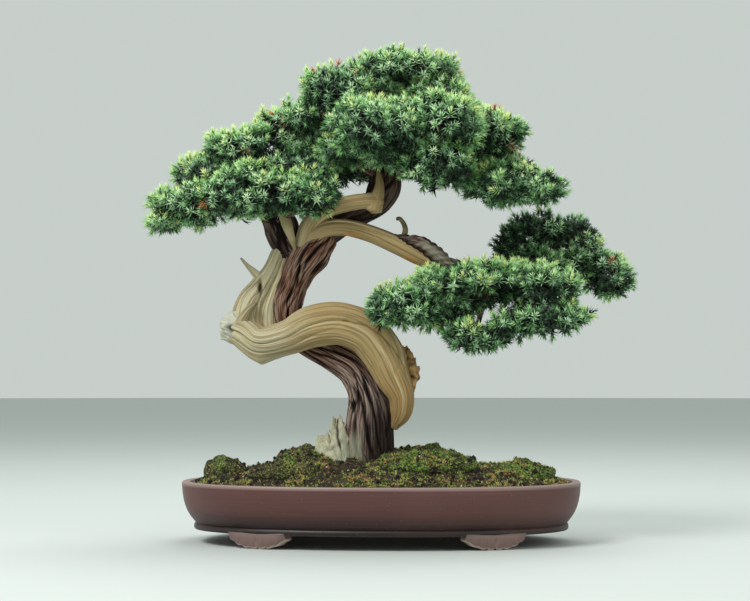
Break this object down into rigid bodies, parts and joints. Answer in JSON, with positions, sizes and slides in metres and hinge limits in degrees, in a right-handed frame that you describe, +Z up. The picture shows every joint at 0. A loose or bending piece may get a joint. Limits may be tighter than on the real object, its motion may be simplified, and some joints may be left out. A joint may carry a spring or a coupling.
{
  "type": "bonsai tree in a pot",
  "caption": "Juniper bonsai with a twisted deadwood trunk and clipped needle foliage pads, in a shallow oval clay pot on cloud-shaped feet.",
  "frame": {"origin": "bottom centre of the whole outer box, on the surface that the pot feet stand on", "axes": "+X to the right of the front view, +Y away from the viewer, +Z up"},
  "size_m": [0.5504, 0.2972, 0.5502],
  "materials": {
    "clay": "unglazed brown-purple clay, satin and slightly rubbed",
    "pumice": "coarse drainage grit",
    "soil": "damp crumbly soil",
    "wire": "soft annealed wire",
    "screen": "moulded mesh",
    "root": "root bark",
    "bark": "stringy purple-brown juniper bark with bare cream veins",
    "deadwood": "weathered bare wood with lengthwise grain",
    "foliage": "dense short juniper needles",
    "moss": "low cushions of moss"
  },
  "bodies": {
    "root": {"pot": "clay", "trunk": "bark", "root_front_left": "root", "root_front_right": "root", "root_rear_left": "root", "root_rear_right": "root", "upper_limb": "deadwood", "right_limb": "deadwood", "apex_trunk": "bark", "hook_jin": "deadwood", "left_branch": "bark", "right_rear_branch": "bark", "right_front_branch": "bark", "crown_left_branch": "bark", "crown_right_branch": "bark", "crown_front_branch": "bark", "crown_rear_branch": "bark", "spur_jin": "deadwood", "wedge_jin": "deadwood", "base_flake": "deadwood", "anchor_wire": "wire", "screen_clip_left": "wire", "drain_screen_left": "screen", "screen_clip_right": "wire", "drain_screen_right": "screen", "drainage_layer": "pumice", "soil": "soil", "moss_left": "moss", "moss_middle_left": "moss", "moss_front_left": "moss", "moss_front_right": "moss", "moss_rear_right": "moss", "moss_right": "moss", "left_pad_tip": "foliage", "left_pad_front": "foliage", "left_pad_inner": "foliage", "left_pad_top": "foliage", "left_pad_rear": "foliage", "apex_pad": "foliage", "crown_upper_left": "foliage", "crown_upper_right": "foliage", "crown_left_shoulder": "foliage", "crown_front": "foliage", "crown_front_right": "foliage", "crown_right_shoulder": "foliage", "crown_low_middle": "foliage", "crown_low_right": "foliage", "crown_rear_left": "foliage", "crown_rear": "foliage", "crown_rear_right": "foliage", "right_rear_top": "foliage", "right_rear_inner": "foliage", "right_rear_outer": "foliage", "right_rear_tip": "foliage", "right_front_tip": "foliage", "right_front_middle": "foliage", "right_front_outer": "foliage", "right_front_low": "foliage", "right_front_low_outer": "foliage"}
  },
  "joints": []
}
